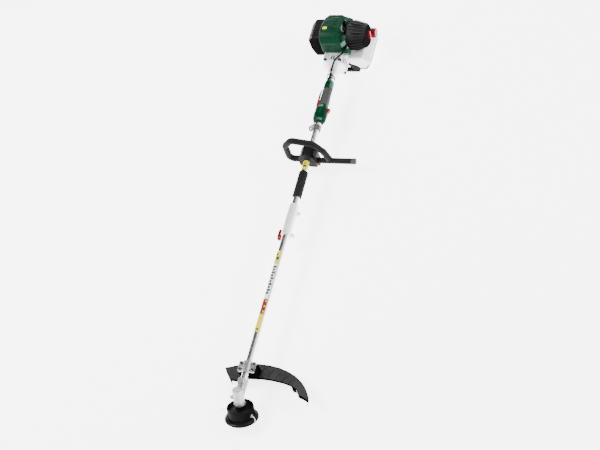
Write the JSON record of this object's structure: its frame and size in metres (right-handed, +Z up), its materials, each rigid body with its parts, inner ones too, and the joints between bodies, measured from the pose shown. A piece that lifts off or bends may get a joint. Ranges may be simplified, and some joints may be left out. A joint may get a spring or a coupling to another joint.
{
  "type": "string trimmer",
  "caption": "Petrol string trimmer: split straight boom with loop handle, throttle grip, rear engine, bevel gearbox, line head and guard.",
  "frame": {"origin": "centre of the engine stand's foot, on the floor", "axes": "+X along the boom from the cutting head to the engine, +Z up, +Y to the muffler's side"},
  "size_m": [1.7999, 0.351, 0.253],
  "materials": {
    "cast_silver": "satin cast and tumbled",
    "tube": "bright anodised",
    "fins": "cast",
    "steel": "machined",
    "fan": "cast",
    "zinc": "zinc plated",
    "bolt": "black oxide",
    "head_black": "moulded nylon",
    "line": "extruded nylon",
    "guard_black": "textured moulding",
    "black_plastic": "fine textured",
    "green_gloss": "glossy",
    "grip_rubber": "ribbed",
    "handle_rubber": "smooth skin",
    "foam": "closed-cell foam",
    "red_plastic": "glossy",
    "tank": "translucent",
    "primer": "soft clear bulb"
  },
  "bodies": {
    "frame": {"ball_bearings": "steel", "barrier_bar": "handle_rubber", "carburettor": "fins", "clutch_housing": "cast_silver", "control_housing_left": "green_gloss", "control_housing_right": "green_gloss", "coupler_housing": "cast_silver", "crankcase": "cast_silver", "cylinder": "fins", "engine_stand": "black_plastic", "filter_cover": "black_plastic", "foam_sleeve": "foam", "fuel_tank": "tank", "gear_housing": "cast_silver", "grip_sleeve": "grip_rubber", "guard": "guard_black", "guard_bracket": "cast_silver", "handle_clamp_base": "black_plastic", "handle_clamp_top": "black_plastic", "harness_eye": "zinc", "line_cutter": "zinc", "loop_handle": "handle_rubber", "lower_tube": "tube", "muffler": "steel", "muffler_cover": "black_plastic", "piston_and_rod": "fins", "shaft_bushes": "black_plastic", "socket_bolts": "bolt", "spark_plug": "zinc", "starter_housing": "black_plastic", "throttle_cable": "handle_rubber", "top_cover": "green_gloss", "upper_tube": "tube"},
    "head": {"head_housing": "head_black", "head_base_cover": "head_black", "line_eyelets": "zinc", "trimmer_line": "line", "output_spindle": "steel", "bevel_gear": "steel", "spool_spring": "zinc"},
    "bump": {"bump_knob": "head_black", "line_spool": "head_black"},
    "drive_line": {"upper_drive_shaft": "steel", "lower_drive_shaft": "steel", "bevel_pinion": "steel", "clutch_drum": "steel"},
    "crank": {"crankshaft": "steel", "flywheel": "fan", "clutch_shoes": "steel"},
    "trigger": {"throttle_trigger": "black_plastic"},
    "lock_lever": {"throttle_lock": "red_plastic"},
    "switch": {"stop_switch": "red_plastic"},
    "clamp_knob": {"coupler_knob": "red_plastic"},
    "lock_pin": {"coupler_lock_pin": "steel"},
    "loop_knob": {"handle_knob": "red_plastic"},
    "choke": {"choke_lever": "red_plastic"},
    "primer": {"primer_bulb": "primer"},
    "cap": {"fuel_cap": "red_plastic"},
    "pulley": {"starter_pulley": "black_plastic"},
    "starter_grip": {"starter_handle": "black_plastic"}
  },
  "joints": [
    {"name": "head_spin", "type": "hinge", "parent": "frame", "child": "head", "pos_m": [-1.569, 0, 0.105], "axis": [0.5, 0, 0.866], "continuous": true},
    {"name": "drive_spin", "type": "hinge", "parent": "frame", "child": "drive_line", "pos_m": [-1.569, 0, 0.105], "axis": [1, 0, 0], "continuous": true},
    {"name": "bump_press", "type": "slide", "parent": "head", "child": "bump", "axis": [0.5, 0, 0.866], "range_m": [0, 0.005], "stiffness_N_per_m": 2500, "springref_m": -0.008},
    {"name": "crank_spin", "type": "hinge", "parent": "frame", "child": "crank", "pos_m": [0.031, 0, 0.105], "axis": [1, 0, 0], "continuous": true},
    {"name": "throttle_squeeze", "type": "hinge", "parent": "frame", "child": "trigger", "pos_m": [-0.289, 0, 0.083], "axis": [0, -1, 0], "range_deg": [0, 10], "stiffness_Nm_per_rad": 0.5, "springref_deg": -14.32},
    {"name": "lock_press", "type": "hinge", "parent": "frame", "child": "lock_lever", "pos_m": [-0.297, 0.0172, 0.11704], "axis": [0, 0.5736, -0.8192], "range_deg": [0, 4.5], "stiffness_Nm_per_rad": 0.5, "springref_deg": -14.32},
    {"name": "stop_slide", "type": "slide", "parent": "frame", "child": "switch", "axis": [1, 0, 0], "range_m": [0, 0.005]},
    {"name": "clamp_turn", "type": "hinge", "parent": "frame", "child": "clamp_knob", "pos_m": [-0.88, 0.03, 0.084], "axis": [0, 1, 0], "range_deg": [-360, 360]},
    {"name": "lock_pin_pull", "type": "slide", "parent": "frame", "child": "lock_pin", "axis": [0, 0, -1], "range_m": [0, 0.004], "stiffness_N_per_m": 2000, "springref_m": -0.004},
    {"name": "loop_knob_turn", "type": "hinge", "parent": "frame", "child": "loop_knob", "pos_m": [-0.526, -0.022, 0.065], "axis": [0, 0, 1], "range_deg": [-360, 360]},
    {"name": "choke_turn", "type": "hinge", "parent": "frame", "child": "choke", "pos_m": [0.043, -0.126, 0.167], "axis": [0, 1, 0], "range_deg": [0, 45]},
    {"name": "primer_press", "type": "slide", "parent": "frame", "child": "primer", "axis": [0, 0, 1], "range_m": [0, 0.004], "stiffness_N_per_m": 800, "springref_m": -0.003},
    {"name": "cap_turn", "type": "hinge", "parent": "frame", "child": "cap", "pos_m": [0.111, -0.125, 0.105], "axis": [0, -1, 0], "range_deg": [-450, 450]},
    {"name": "starter_pull", "type": "slide", "parent": "frame", "child": "starter_grip", "axis": [0, 1, 0], "range_m": [0, 0.7], "stiffness_N_per_m": 12, "springref_m": -0.25},
    {"name": "pulley_turn", "type": "hinge", "parent": "frame", "child": "pulley", "pos_m": [0.111, 0, 0.105], "axis": [-1, 0, 0], "range_deg": [0, 1400]}
  ],
  "couplings": [
    {"joint": "drive_spin", "follows": "head_spin", "ratio": -1.3571},
    {"joint": "pulley_turn", "follows": "starter_pull", "rad_per_m": 34.483}
  ]
}
